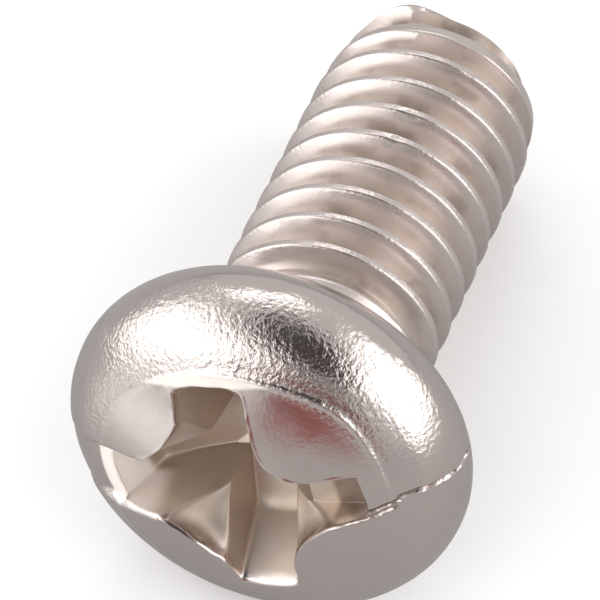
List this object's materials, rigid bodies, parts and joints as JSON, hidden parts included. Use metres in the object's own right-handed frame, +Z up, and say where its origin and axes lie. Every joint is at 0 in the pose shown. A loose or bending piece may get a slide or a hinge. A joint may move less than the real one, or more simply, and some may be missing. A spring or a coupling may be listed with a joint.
{
  "type": "machine screw",
  "caption": "Short machine screw with a domed pan head, a cross recess over a straight slot, a plain neck and a rolled right-hand thread with a tapered lead, lying on its side.",
  "frame": {"origin": "centre of the box's base, on the surface that the screw lies on with the edge of its head and the edge of its lead", "axes": "+X along the screw towards its tip, seen from above, +Y across it, +Z up"},
  "size_m": [0.0109, 0.0068, 0.0067],
  "materials": {
    "nickel_plated_steel": "bright nickel plate with an orange-peel dome"
  },
  "bodies": {
    "root": {"screw": "nickel_plated_steel"}
  },
  "joints": []
}
